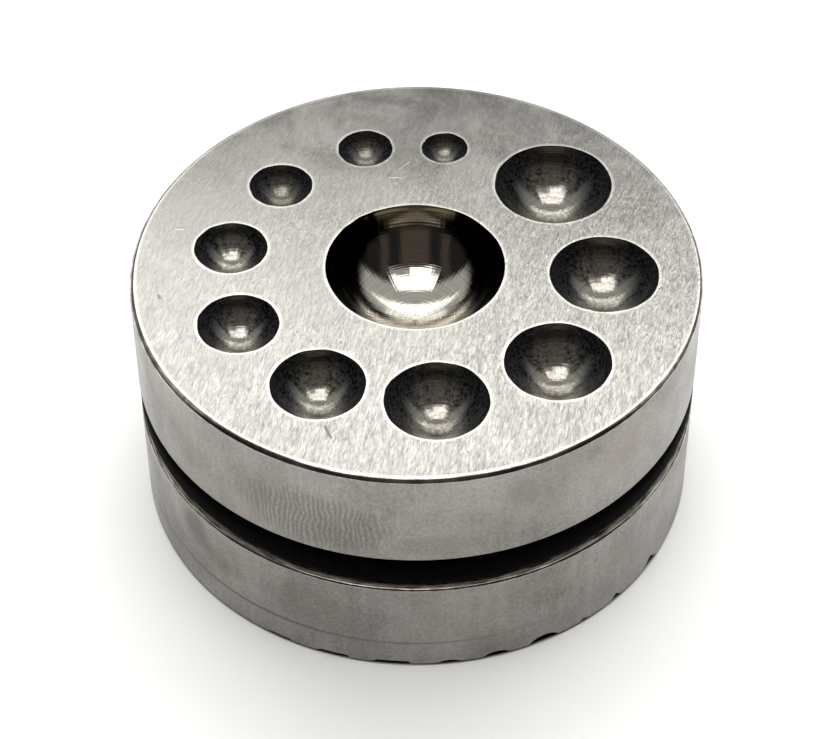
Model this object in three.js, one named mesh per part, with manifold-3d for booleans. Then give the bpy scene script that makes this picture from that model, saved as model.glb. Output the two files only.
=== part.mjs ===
// A round dapping block: a turned, hardened steel block with ball cavities sunk in its top face and
// swage channels planed across its base, and a rubber ring stretched into the groove round its waist.
// Millimetres, +Z up. The origin is the centre of the base, and the front looks along -Y.
import * as THREE from "three";
import { mergeVertices } from "three/addons/utils/BufferGeometryUtils.js";
import Module from "manifold-3d";

// Block
const blockDiameter = 63.5;
const upperDiscHeight = 12.7;
const grooveHeight = 4.8;
const lowerDiscHeight = 13;
const grooveDepth = 5;
const rimChamfer = 0.3; // round the top face and round the base
const grooveChamfer = 0.15; // on the two edges of the groove
const blockSegments = 128;

// Cavities
// Each is a spherical cap, a little shallower than half a ball, sunk in the top face.
const cavityDepthShare = 0.85; // of the radius at the rim
const centreCavityDiameter = 19.9;
const centreCavityAngle = 102; // it stands a little off the axis, placed as the others are below
const centreCavityPitchShare = 0.0226;
const centreCavitySegments = 48;
const centreCavitySteps = 10;
const ringCavitySegments = 28;
const ringCavitySteps = 7;
// They stand round the centre cavity by hand spacing: angle in degrees from +X, anticlockwise from
// above, and the distance from the axis as a share of the pitch circle's radius.
const ringCavities = [
  { diameter: 5.2, angle: 80.5, pitchShare: 0.988 },
  { diameter: 6.2, angle: 106, pitchShare: 1.012 },
  { diameter: 7.1, angle: 138, pitchShare: 0.996 },
  { diameter: 8.1, angle: 170.5, pitchShare: 1.006 },
  { diameter: 8.9, angle: 204, pitchShare: 1.016 },
  { diameter: 10.2, angle: 239.5, pitchShare: 0.991 },
  { diameter: 11.2, angle: 276, pitchShare: 0.979 },
  { diameter: 11.5, angle: 316, pitchShare: 1.008 },
  { diameter: 12, angle: 357, pitchShare: 1 },
  { diameter: 13.3, angle: 41.5, pitchShare: 1.01 },
];

// Swage channels
// They run side by side across the base, turned from the front by this angle in degrees. Each lies
// off the middle by a share of the block's radius.
const channelTurn = 15;
const flatFlankShare = 0.5; // slope of a flat channel's flanks: run over depth
const roundChannelSegments = 5;
const channels = [
  { section: "flat", offsetShare: -0.69, width: 2.4, depth: 0.6 },
  { section: "flat", offsetShare: -0.53, width: 3.3, depth: 0.7 },
  { section: "flat", offsetShare: -0.343, width: 4, depth: 0.75 },
  { section: "round", offsetShare: -0.151, width: 3.5, depth: 0.75 },
  { section: "round", offsetShare: 0.017, width: 3.9, depth: 0.95 },
  { section: "round", offsetShare: 0.195, width: 4.2, depth: 1.25 },
  { section: "vee", offsetShare: 0.356, width: 2, depth: 0.8 },
  { section: "vee", offsetShare: 0.498, width: 2.3, depth: 1.2 },
  { section: "vee", offsetShare: 0.665, width: 3.1, depth: 1.7 },
];

// Rubber ring
const ringFloorClearance = 0.3; // to the floor of the groove
const ringSideClearance = 0.1; // to each wall of the groove
const ringCornerShare = 0.8; // corner radius over half the section's height: a round cord, squeezed
const ringSegments = 96;
const ringCornerSegments = 2;

// Cutters run past the faces that they open by this much.
const overrun = 1;

// Sizes that follow from these
const blockRadius = blockDiameter / 2;
const blockHeight = lowerDiscHeight + grooveHeight + upperDiscHeight;
const grooveBottom = lowerDiscHeight;
const grooveTop = lowerDiscHeight + grooveHeight;
const grooveFloorRadius = blockRadius - grooveDepth;
const pitchRadius = (blockRadius + centreCavityDiameter / 2) / 2; // midway from cavity to edge

const wasm = await Module();
wasm.setup();

const steel = new THREE.MeshStandardMaterial({ color: 0xb4b1ac, roughness: 0.32, metalness: 1 });
const rubber = new THREE.MeshStandardMaterial({ color: 0x101112, roughness: 0.55, metalness: 0 });

// A closed geometry as a solid that can be cut.
function solidOf(geometry) {
  geometry.deleteAttribute("normal");
  geometry.deleteAttribute("uv");
  const merged = mergeVertices(geometry);
  return new wasm.Manifold(
    new wasm.Mesh({
      numProp: 3,
      vertProperties: merged.attributes.position.array,
      triVerts: new Uint32Array(merged.index.array),
    }),
  );
}

// The geometry of a cut solid.
function geometryOf(solid) {
  const mesh = solid.getMesh();
  const geometry = new THREE.BufferGeometry();
  geometry.setAttribute("position", new THREE.BufferAttribute(mesh.vertProperties, 3));
  geometry.setIndex(new THREE.BufferAttribute(mesh.triVerts, 1));
  geometry.computeVertexNormals();
  return geometry;
}

// A profile of [radius, height] points, from the bottom up, turned about the Z axis.
function turned(profile, segments) {
  const points = profile.map(([radius, height]) => new THREE.Vector2(radius, height));
  return new THREE.LatheGeometry(points, segments).rotateX(Math.PI / 2);
}

// The block before its cavities and channels: two discs joined by the waist.
function turnedBlank() {
  const profile = [
    [0, 0],
    [blockRadius - rimChamfer, 0],
    [blockRadius, rimChamfer],
    [blockRadius, grooveBottom - grooveChamfer],
    [blockRadius - grooveChamfer, grooveBottom],
    [grooveFloorRadius, grooveBottom],
    [grooveFloorRadius, grooveTop],
    [blockRadius - grooveChamfer, grooveTop],
    [blockRadius, grooveTop + grooveChamfer],
    [blockRadius, blockHeight - rimChamfer],
    [blockRadius - rimChamfer, blockHeight],
    [0, blockHeight],
  ];
  return solidOf(turned(profile, blockSegments));
}

// What a ball-nosed tool takes out to leave a cavity: a cap below the top face and a straight neck
// above it. The ball's radius follows from the cavity's rim radius and depth.
function cavityCutter(diameter, segments, steps) {
  const rimRadius = diameter / 2;
  const depth = rimRadius * cavityDepthShare;
  const ballRadius = (rimRadius ** 2 + depth ** 2) / (2 * depth);
  const ballHeight = blockHeight - depth + ballRadius;
  const rimAngle = Math.asin(rimRadius / ballRadius);
  const profile = Array.from({ length: steps + 1 }, (_, step) => {
    const angle = (rimAngle * step) / steps;
    return [ballRadius * Math.sin(angle), ballHeight - ballRadius * Math.cos(angle)];
  });
  profile.push([rimRadius, blockHeight + overrun], [0, blockHeight + overrun]);
  return turned(profile, segments);
}

// The centre cavity and the graded cavities round it, each at its angle on the pitch circle.
function cavityCutters() {
  const placed = (cutter, angle, pitchShare) =>
    cutter.translate(pitchRadius * pitchShare, 0, 0).rotateZ(THREE.MathUtils.degToRad(angle));
  const centre = placed(
    cavityCutter(centreCavityDiameter, centreCavitySegments, centreCavitySteps),
    centreCavityAngle,
    centreCavityPitchShare,
  );
  const ring = ringCavities.map(({ diameter, angle, pitchShare }) =>
    placed(cavityCutter(diameter, ringCavitySegments, ringCavitySteps), angle, pitchShare),
  );
  return [centre, ...ring];
}

// A channel's outline, across and up, standing on the base and running past it below.
function channelSection({ section, offsetShare, width, depth }) {
  const middle = blockRadius * offsetShare;
  const left = middle - width / 2;
  const right = middle + width / 2;
  const shape = new THREE.Shape();
  shape.moveTo(left, -overrun);
  shape.lineTo(right, -overrun);
  shape.lineTo(right, 0);
  if (section === "flat") {
    const flankRun = depth * flatFlankShare;
    shape.lineTo(right - flankRun, depth);
    shape.lineTo(left + flankRun, depth);
  } else if (section === "round") {
    const radius = (width ** 2 / 4 + depth ** 2) / (2 * depth);
    const halfAngle = Math.asin(width / 2 / radius);
    const start = Math.PI / 2 - halfAngle;
    shape.absarc(middle, depth - radius, radius, start, start + 2 * halfAngle, false);
  } else {
    shape.lineTo(middle, depth);
  }
  shape.lineTo(left, 0);
  shape.closePath();
  return shape;
}

// The bars that cut the channels, each as long as the block is wide and more.
function channelCutters() {
  const length = blockDiameter + 2 * overrun;
  return channels.map((channel) =>
    new THREE.ExtrudeGeometry(channelSection(channel), {
      depth: length,
      bevelEnabled: false,
      curveSegments: roundChannelSegments,
    })
      .rotateX(Math.PI / 2)
      .translate(0, length / 2, 0)
      .rotateZ(THREE.MathUtils.degToRad(channelTurn)),
  );
}

// The steel block: the blank with every cavity and channel cut.
function steelBlock() {
  const cutters = [...cavityCutters(), ...channelCutters()];
  const cut = cutters.reduce((solid, cutter) => solid.subtract(solidOf(cutter)), turnedBlank());
  return geometryOf(cut);
}

// The rubber ring: a round cord squeezed between the groove's walls, flush with the block's side.
function rubberRing() {
  const inner = grooveFloorRadius + ringFloorClearance;
  const bottom = grooveBottom + ringSideClearance;
  const top = grooveTop - ringSideClearance;
  const corner = (ringCornerShare * (top - bottom)) / 2;
  const section = new THREE.Path();
  const quarter = Math.PI / 2;
  section.absarc(blockRadius - corner, bottom + corner, corner, -quarter, 0, false);
  section.absarc(blockRadius - corner, top - corner, corner, 0, quarter, false);
  section.absarc(inner + corner, top - corner, corner, quarter, 2 * quarter, false);
  section.absarc(inner + corner, bottom + corner, corner, 2 * quarter, 3 * quarter, false);
  section.closePath();
  const profile = section.getPoints(ringCornerSegments).map(({ x, y }) => [x, y]);
  return turned(profile, ringSegments);
}

function namedMesh(name, geometry, material) {
  const mesh = new THREE.Mesh(geometry, material);
  mesh.name = name;
  return mesh;
}

const dappingBlock = new THREE.Group();
dappingBlock.add(namedMesh("steel_block", steelBlock(), steel));
dappingBlock.add(namedMesh("rubber_ring", rubberRing(), rubber));

export default dappingBlock;
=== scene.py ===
"""Looks for a round dapping block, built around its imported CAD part.

The steel is one closed skin: a turned outline with broken edges, a ground top face pierced by
eleven ball cavities, and a base crossed by nine swage channels. A black rubber ring lies in the
groove round its waist. Sizes are in millimetres until a mesh is made, and Blender's own units are
metres.
"""

from __future__ import annotations

import logging
from collections.abc import Callable, Sequence
from dataclasses import dataclass, field
from enum import Enum
from functools import partial
from typing import Any, ClassVar

import bmesh
import bpy
import numpy as np
from mathutils import Matrix
from mathutils.geometry import delaunay_2d_cdt


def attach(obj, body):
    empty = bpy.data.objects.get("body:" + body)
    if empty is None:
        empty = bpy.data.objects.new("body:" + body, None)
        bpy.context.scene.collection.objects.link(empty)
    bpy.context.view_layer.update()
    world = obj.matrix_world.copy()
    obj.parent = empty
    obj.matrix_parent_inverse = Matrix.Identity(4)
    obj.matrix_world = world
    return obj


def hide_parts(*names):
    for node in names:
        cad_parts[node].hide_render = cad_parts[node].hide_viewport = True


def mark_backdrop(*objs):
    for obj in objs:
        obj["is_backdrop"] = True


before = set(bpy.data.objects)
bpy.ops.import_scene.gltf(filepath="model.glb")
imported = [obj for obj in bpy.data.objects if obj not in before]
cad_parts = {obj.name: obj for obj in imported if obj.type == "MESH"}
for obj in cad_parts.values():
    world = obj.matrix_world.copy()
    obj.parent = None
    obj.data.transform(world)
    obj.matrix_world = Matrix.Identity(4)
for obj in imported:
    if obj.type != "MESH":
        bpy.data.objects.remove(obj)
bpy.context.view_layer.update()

logging.basicConfig(level=logging.INFO, format="%(levelname)s %(message)s")
log = logging.getLogger("dapping_block")

Tree = bpy.types.NodeTree
Socket = bpy.types.NodeSocket
Adder = Callable[..., Socket]  # add_node with its tree filled in
Array = np.ndarray
Pair = tuple[float, float]
Numbers = tuple[float, ...]

MM = 0.001
BLOCK_RADIUS = 31.75
FRONT = 270  # degrees from +X
IMAGE_WIDTH = 830
WELD_DISTANCE = 2e-7  # metres: points closer than this are one
SHARP_ANGLE = np.radians(32)
INSIDE_ONLY = 1  # has the triangulation leave out what lies outside its edges

# A Mix node repeats its socket names for numbers and colours, so its colour sockets go by number.
# For numbers, A and B come third and fourth.
MIX_SHARE, COLOUR_A, COLOUR_B, COLOUR_OUT = 0, 6, 7, 2
NOISE = {"Scale": 1.0, "Roughness": 0.6}  # on coordinates that a Mapping has scaled
SMOOTH = {"interpolation_type": "SMOOTHSTEP"}


# Colour and nodes


def linear(hex_code: str) -> tuple[float, float, float, float]:
    """Turns an sRGB hex colour into the linear colour that shaders take.

    Args:
        hex_code: Six hex digits after a hash.

    Returns:
        Red, green, blue and an alpha of 1, each from 0 to 1.
    """
    shown = np.array([int(hex_code[at : at + 2], 16) for at in (1, 3, 5)]) / 255
    light = np.where(shown <= 0.04045, shown / 12.92, ((shown + 0.055) / 1.055) ** 2.4)
    return (*light.tolist(), 1.0)


def add_node(
    tree: Tree,
    kind: str,
    inputs: Sequence[Any] | dict[str | int, Any] = (),
    out: str | int = 0,
    **settings: Any,
) -> Socket | None:
    """Adds one node with its settings and links.

    Args:
        tree: The node tree that gets it.
        kind: The node's class, without ShaderNode before it, and its operation after a space.
        inputs: What goes into its inputs, in their order or by name or number: a socket to link, a
            value, or None to leave one as it is.
        out: The output that is wanted.
        **settings: The node's own settings, such as operation.

    Returns:
        The wanted output, or None where the node has none.
    """
    kind, *operation = kind.split()
    node = tree.nodes.new("ShaderNode" + kind)
    if operation:
        node.operation = operation[0]
    for name, value in settings.items():
        setattr(node, name, value)
    for name, value in inputs.items() if isinstance(inputs, dict) else enumerate(inputs):
        if isinstance(value, Socket):
            tree.links.new(value, node.inputs[name])
        elif value is not None:
            node.inputs[name].default_value = value
    return node.outputs[out] if node.outputs else None


def empty_tree(owner: bpy.types.Material | bpy.types.World) -> Adder:
    """Empties the node tree of a material or of the world.

    Args:
        owner: What the tree belongs to.

    Returns:
        add_node for that tree.
    """
    owner.use_nodes = True
    owner.node_tree.nodes.clear()
    return partial(add_node, owner.node_tree)


@dataclass
class Look:
    """What a finish gives its shader."""

    base: str  # colour below the others
    layers: Sequence[tuple[Socket, str]]  # shares, each with the colour that it lays over
    bumps: Sequence[tuple[Socket, float]] = ()  # heights, each with its depth in mm
    inputs: dict[str, Any] = field(default_factory=dict)  # of the shader
    bump_strength: float | Socket = 1.0


@dataclass(frozen=True)
class Surface:
    """What all finishes share: a node material made from each one's own look."""

    name: str
    shader: ClassVar[str] = "BsdfPrincipled"

    def look(self, node: Adder, place: Socket) -> Look:
        """Adds the nodes of the finish on object coordinates, and gives what its shader gets."""
        raise NotImplementedError

    def material(self) -> bpy.types.Material:
        """Builds the node material.

        Returns:
            The finished material.
        """
        material = bpy.data.materials.new(self.name)
        node = empty_tree(material)
        look = self.look(node, node("TexCoord", out="Object"))
        colour, normal = linear(look.base), None
        for share, over in look.layers:
            mixed = {MIX_SHARE: share, COLOUR_A: colour, COLOUR_B: linear(over)}
            colour = node("Mix", mixed, COLOUR_OUT, data_type="RGBA")
        for height, depth in look.bumps:
            bump = {"Height": height, "Distance": depth * MM, "Normal": normal}
            normal = node("Bump", {"Strength": look.bump_strength, **bump})
        shader = node(self.shader, {0: colour, "Normal": normal, **look.inputs})
        node("OutputMaterial", {"Surface": shader})
        return material


# Finishes


@dataclass(frozen=True)
class Scratch:
    """A short straight handling mark on the top face."""

    start: Pair  # mm from the block's axis
    end: Pair
    width: float  # mm
    strength: float  # from -1 for dark to 1 for bright
    soft_edge: Pair = (0.25, 0.6)  # of the width, from its middle line

    def mask(self, node: Adder, place: Socket) -> Socket:
        """Adds the nodes that show the mark.

        The distance from a point to the mark is the length of what is left of the point's offset
        from the mark's middle once the part along the mark, held to its half length, is taken off.

        Args:
            node: Adds a node to the material.
            place: Object coordinates.

        Returns:
            A socket that is strength on the mark and 0 away from it.
        """
        start, end = np.array(self.start) * MM, np.array(self.end) * MM
        length, turn = np.linalg.norm(end - start), np.arctan2(*(end - start)[::-1])
        middle = (*(start + end) / 2, 0)
        local = node("Mapping", (place, middle, (0, 0, turn)), vector_type="TEXTURE")
        past = node("VectorMath ABSOLUTE", (local,))
        past = node("VectorMath SUBTRACT", (past, (length / 2, 0, 1)))  # and no height is left
        past = node("VectorMath MAXIMUM", (past, (0, 0, 0)))
        away = node("VectorMath LENGTH", (past,), "Value")
        fade = (share * self.width * MM for share in self.soft_edge)
        return node("MapRange", (away, *fade, self.strength, 0.0), **SMOOTH)


@dataclass(frozen=True)
class GroundFace(Surface):
    """Hardened tool steel, surface-ground in short strokes that lean off the front-back line.

    The strokes scatter light sideways, so the face shows the bright band behind it as one soft pool
    of light broken up by fine streaks.
    """

    name: str = "hardened_steel_surface_ground"
    pale: str = "#dddad5"
    dark: str = "#868380"
    rim_highlight: str = "#ebe8e2"  # painted highlight beside each rim
    roughness: Pair = (0.12, 0.21)
    lean: float = -10.0  # degrees that the strokes turn from the Y axis
    # Width and length in mm, and detail. Real strokes are about 0.05 wide, drawn coarser to show.
    strokes: Numbers = (0.22, 1.25, 3.0)
    bands: Numbers = (0.8, 3.2, 2.0)
    smudges: Numbers = (8.0, 8.0, 4.0)
    wander: float = 0.9
    band_share: float = 0.3
    smudge_share: float = 0.22
    contrast: Pair = (0.36, 0.64)  # the noise that gives the dark and the pale colour
    faint_grain_shade: float = 0.5  # that the grain fades to, midway between dark and pale
    smudge_range: Pair = (0.35, 0.65)
    strong_grain_end: Pair = (0.4, -0.92)  # towards this the grain's colours and bump grow stronger
    strong_grain_reach: Pair = (-20.0, 20.0)  # mm along that direction
    grain_strength_shares: Pair = (0.2, 0.95)
    bump: float = 0.05
    mark_depth: float = 0.5  # of a mark, over the grain's
    scratches: tuple[Scratch, ...] = (
        Scratch((-1.9, 16.6), (-0.7, 17.9), 0.12, 0.9),
        Scratch((-3.0, 15.2), (-1.6, 15.1), 0.12, 0.8),
        Scratch((-27.0, 6.6), (-26.2, 6.6), 0.3, 1.0),
        Scratch((-10.4, -19.6), (-9.2, -21.6), 0.2, -0.5),
        Scratch((-9.6, -23.9), (-8.9, -25.6), 0.22, -0.6),
        Scratch((-28.3, -4.1), (-28.1, -4.5), 0.4, -0.35),
    )

    def look(self, node: Adder, place: Socket) -> Look:
        """Adds three layers of leaning noise, the stronger grain at one end, the marks and the
        painted highlight beside each rim.

        Args:
            node: Adds a node to the material.
            place: Object coordinates.

        Returns:
            What the shader gets.
        """
        turn, layers = (0, 0, np.radians(self.lean)), []
        for width, length, detail in (self.strokes, self.bands, self.smudges):
            size = (width * MM, length * MM, length * MM)
            leant = node("Mapping", (place, None, turn, size), vector_type="TEXTURE")
            noise = {"Vector": leant, "Detail": detail, "Distortion": self.wander, **NOISE}
            layers.append(node("TexNoise", noise, "Fac"))
        strokes, bands, smudges = layers
        along = node("VectorMath DOT_PRODUCT", (place, (*self.strong_grain_end, 0.0)), "Value")
        ends = (reach * MM for reach in self.strong_grain_reach)
        grain_strength = node("MapRange", (along, *ends, *self.grain_strength_shares))
        marks = 0.0
        for scratch in self.scratches:
            marks = node("Math ADD", (marks, scratch.mask(node, place)))
        grain = node("Mix", (self.band_share, None, strokes, bands))
        shade = node("Mix", (self.smudge_share, None, grain, smudges))
        shade = node("MapRange", (shade, *self.contrast))
        shade = node("Mix", (grain_strength, None, self.faint_grain_shade, shade))
        shade = node("Math ADD", (shade, marks), use_clamp=True)
        # The rim share lays a painted highlight on the land beside each cavity.
        rim = node("Attribute", out="Fac", attribute_name="rim_share", attribute_type="GEOMETRY")
        rough = node("MapRange", (smudges, *self.smudge_range, *self.roughness))
        height = node("Math MULTIPLY_ADD", (marks, self.mark_depth, grain))
        over = ((shade, self.pale), (rim, self.rim_highlight))
        inputs = {"Metallic": 1.0, "Roughness": rough}
        return Look(self.dark, over, ((height, self.bump),), inputs, bump_strength=grain_strength)


@dataclass(frozen=True)
class Patch:
    """A soft-edged oval on the block's side."""

    angle: float  # of its middle, in degrees from +X round the block
    height: float  # of its middle above the base, in mm
    half_width: float  # mm
    half_height: float  # mm
    strength: float  # at its middle, from 0 to 1
    soft_from: float = 0.3  # where it starts to fade, as a share of the way to its edge

    def mask(self, node: Adder, unrolled: Socket) -> tuple[Socket, Socket]:
        """Adds the nodes that show the patch.

        Args:
            node: Adds a node to the material.
            unrolled: The side's unrolled coordinates.

        Returns:
            A socket that is strength at the patch's middle and 0 outside it, and the coordinates
            from its middle, in mm.
        """
        middle = (BLOCK_RADIUS * np.radians(self.angle - FRONT) * MM, 0, self.height * MM)
        local = node("Mapping", (unrolled, middle, None, (MM, 1, MM)), vector_type="TEXTURE")
        shares = (1 / self.half_width, 0.0, 1 / self.half_height)
        oval = node("VectorMath MULTIPLY", (local, shares))
        away = node("VectorMath LENGTH", (oval,), "Value")
        return node("MapRange", (away, self.soft_from, 1.0, self.strength, 0.0), **SMOOTH), local


@dataclass(frozen=True)
class GroundSide(Surface):
    """Hardened tool steel, turned and cylindrically ground, with handling stains and painted shade.

    A fine speckle and soft dull patches break up the grey, with a scribed line above the base and a
    smear of fine wavy lines on the upper disc. The patches are handling stains, and on the lower
    disc also painted shade where the side mirrors the floor in the block's shadow.
    """

    name: str = "hardened_steel_turned_and_ground"
    pale: str = "#9d9a97"
    dark: str = "#777470"
    warm: str = "#8f857e"
    # of the stains, the painted shade on the lower disc, the smear and the scribed line
    stain_and_shade: str = "#68655f"
    roughness: Pair = (0.41, 0.32)
    # Size along X, Y and Z in mm, and detail. Real feed marks are finer than the rings, drawn
    # coarser to show. The streaks lie on the unrolled side.
    rings: Numbers = (14.0, 14.0, 0.25, 2.0)
    clouds: Numbers = (9.0, 9.0, 9.0, 4.0)
    speckles: Numbers = (0.36, 0.36, 0.36, 3.0)
    tints: Numbers = (12.6, 12.6, 12.6, 3.0)
    streaks: Numbers = (1.1, 1.0, 8.0, 3.0)
    streak_share: float = 0.3
    speckle_share: float = 0.4
    contrast: Pair = (0.38, 0.62)  # the noise that gives the dark and the pale colour
    warmth: Numbers = (0.52, 0.7, 0.0, 0.4)  # the range of the tints, and the shares it gives
    mottle: Numbers = (0.4, 0.6, 0.3, 1.3)  # the same for clouds, over the stains and painted shade
    cloud_range: Pair = (0.35, 0.65)
    bump: float = 0.02
    # Handling stains, and on the lower disc also painted shade where it mirrors shadowed floor.
    stain_and_shade_patches: tuple[Patch, ...] = (
        Patch(219, 9.8, 3.4, 4.2, 1.0),
        Patch(226, 7.8, 3.4, 2.6, 0.8),
        Patch(249, 7.6, 8.5, 4.6, 0.5),
        Patch(258, 4.0, 5.0, 3.6, 0.2),
        Patch(273, 20.2, 6.5, 2.2, 0.28),
        Patch(287, 21.4, 1.8, 2.4, 0.3),
        Patch(291, 26.5, 3.2, 3.2, 0.25),
        Patch(306, 28.3, 1.3, 1.1, 0.4),
        Patch(224, 28.0, 6.0, 3.0, 0.15),
        Patch(318, 7.5, 5.0, 3.0, 0.16),
        Patch(60, 9.0, 9.0, 5.0, 0.25),
        Patch(120, 22.0, 7.0, 4.0, 0.25),
    )
    scribe_height: float = 3.9
    scribe_width: float = 0.32
    scribe_ends: Pair = (196.0, 303.0)  # degrees: darkest at one, faded out at the other
    scribe_strength: float = 2.0
    smear: Patch = Patch(249.5, 22.3, 10.6, 4.9, 1.0, soft_from=0.6)
    smear_spacing: float = 0.58  # mm
    smear_strength: float = 0.66
    wave_spacing: float = 0.314  # of the bands of a Wave texture at scale 1
    waves: ClassVar[dict[str, float]] = {"Distortion": 12.0, "Detail": 2.5, "Detail Scale": 0.5}

    def look(self, node: Adder, place: Socket) -> Look:
        """Adds five layers of noise, the stains and painted shade, and the marks.

        Unrolled, X is the way round from the front and Z the height.

        Args:
            node: Adds a node to the material.
            place: Object coordinates.

        Returns:
            What the shader gets.
        """
        x, y, z = node("SeparateXYZ", (place,)).node.outputs
        back = node("Math MULTIPLY", (y, -1.0))
        angle = node("Math ARCTAN2", (x, back))
        along = node("Math MULTIPLY", (angle, BLOCK_RADIUS * MM))
        unrolled = node("CombineXYZ", (along, None, z))
        layers = []
        for grain in (self.rings, self.clouds, self.speckles, self.tints, self.streaks):
            source = unrolled if grain is self.streaks else place
            *size, detail = grain
            scale = [length * MM for length in size]
            stretched = node("Mapping", (source, None, None, scale), vector_type="TEXTURE")
            layers.append(node("TexNoise", {"Vector": stretched, "Detail": detail, **NOISE}, "Fac"))
        rings, clouds, speckles, tints, streaks = layers
        soft = node("Mix", (self.streak_share, None, clouds, streaks))
        shade = node("Mix", (self.speckle_share, None, soft, speckles))
        shade = node("MapRange", (shade, *self.contrast))
        tinted = node("MapRange", (tints, *self.warmth))
        stain_and_shade = 0.0
        for patch in self.stain_and_shade_patches:
            stain_and_shade = node("Math ADD", (stain_and_shade, patch.mask(node, unrolled)[0]))
        mottle = node("MapRange", (clouds, *self.mottle))
        stain_and_shade = node("Math MULTIPLY", (stain_and_shade, mottle))
        # The smear is upright wavy lines inside a soft oval.
        smeared, local = self.smear.mask(node, unrolled)
        wave = {"Vector": local, "Scale": self.wave_spacing / self.smear_spacing, **self.waves}
        lines = node("TexWave", wave, "Fac", wave_type="BANDS", bands_direction="X")
        for share in (lines, self.smear_strength):
            smeared = node("Math MULTIPLY", (smeared, share))
        # The scribed line runs level and fades out to the right.
        off = node("Math SUBTRACT", (z, self.scribe_height * MM))
        off = node("Math ABSOLUTE", (off,))
        line = node("MapRange", (off, 0.0, self.scribe_width * MM, 1.0, 0.0), **SMOOTH)
        ends = (np.radians(end - FRONT) * BLOCK_RADIUS * MM for end in self.scribe_ends)
        fade = node("MapRange", (along, *ends, self.scribe_strength, 0.0))
        scribed = node("Math MULTIPLY", (line, fade))
        for mark in (smeared, scribed):
            stain_and_shade = node("Math MAXIMUM", (stain_and_shade, mark))
        rough = node("MapRange", (clouds, *self.cloud_range, *self.roughness))
        over = ((shade, self.pale), (tinted, self.warm), (stain_and_shade, self.stain_and_shade))
        return Look(self.dark, over, ((rings, self.bump),), {"Metallic": 1.0, "Roughness": rough})


@dataclass(frozen=True)
class EvenSurface(Surface):
    """An even finish, broken up by one layer of fine noise.

    Used for what is seen small or in shadow: the broken edges, the walls of the groove, the base
    with its planed channels, and the rubber ring.
    """

    pale: str
    dark: str
    roughness: Pair  # at the lowest and the highest noise
    grain: Numbers  # size along X, Y and Z in mm
    bump: float  # depth of the grain in mm
    lean: float = 0.0  # degrees that the grain is turned about Z
    turned: bool = False  # whether the grain runs round the axis, as a lathe leaves it
    film: float = 0.0  # share that scatters light as oil or rubber does, and not as bare metal
    noise: Pair = (4.0, 0.65)  # its detail and roughness
    contrast: Pair = (0.4, 0.6)  # the noise that gives the dark and the pale colour
    inputs: tuple[tuple[str, float], ...] = ()  # others of the shader

    def look(self, node: Adder, place: Socket) -> Look:
        """Adds the noise. On turned steel, the distance from the axis is added to Z first.

        Args:
            node: Adds a node to the material.
            place: Object coordinates.

        Returns:
            What the shader gets.
        """
        if self.turned:
            x, y, z = node("SeparateXYZ", (place,)).node.outputs
            out = node("VectorMath LENGTH", (node("CombineXYZ", (x, y)),), "Value")
            place = node("CombineXYZ", (x, y, node("Math ADD", (out, z))))
        turn, size = (0, 0, np.radians(self.lean)), [length * MM for length in self.grain]
        leant = node("Mapping", (place, None, turn, size), vector_type="TEXTURE")
        detail, roughness = self.noise
        noise = {"Vector": leant, "Scale": 1.0, "Detail": detail, "Roughness": roughness}
        grain = node("TexNoise", noise, "Fac")
        shade = node("MapRange", (grain, *self.contrast))
        rough = node("MapRange", (grain, 0.0, 1.0, *self.roughness))
        inputs = {"Metallic": 1.0 - self.film, "Roughness": rough, **dict(self.inputs)}
        return Look(self.dark, ((shade, self.pale),), ((grain, self.bump),), inputs)


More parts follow.
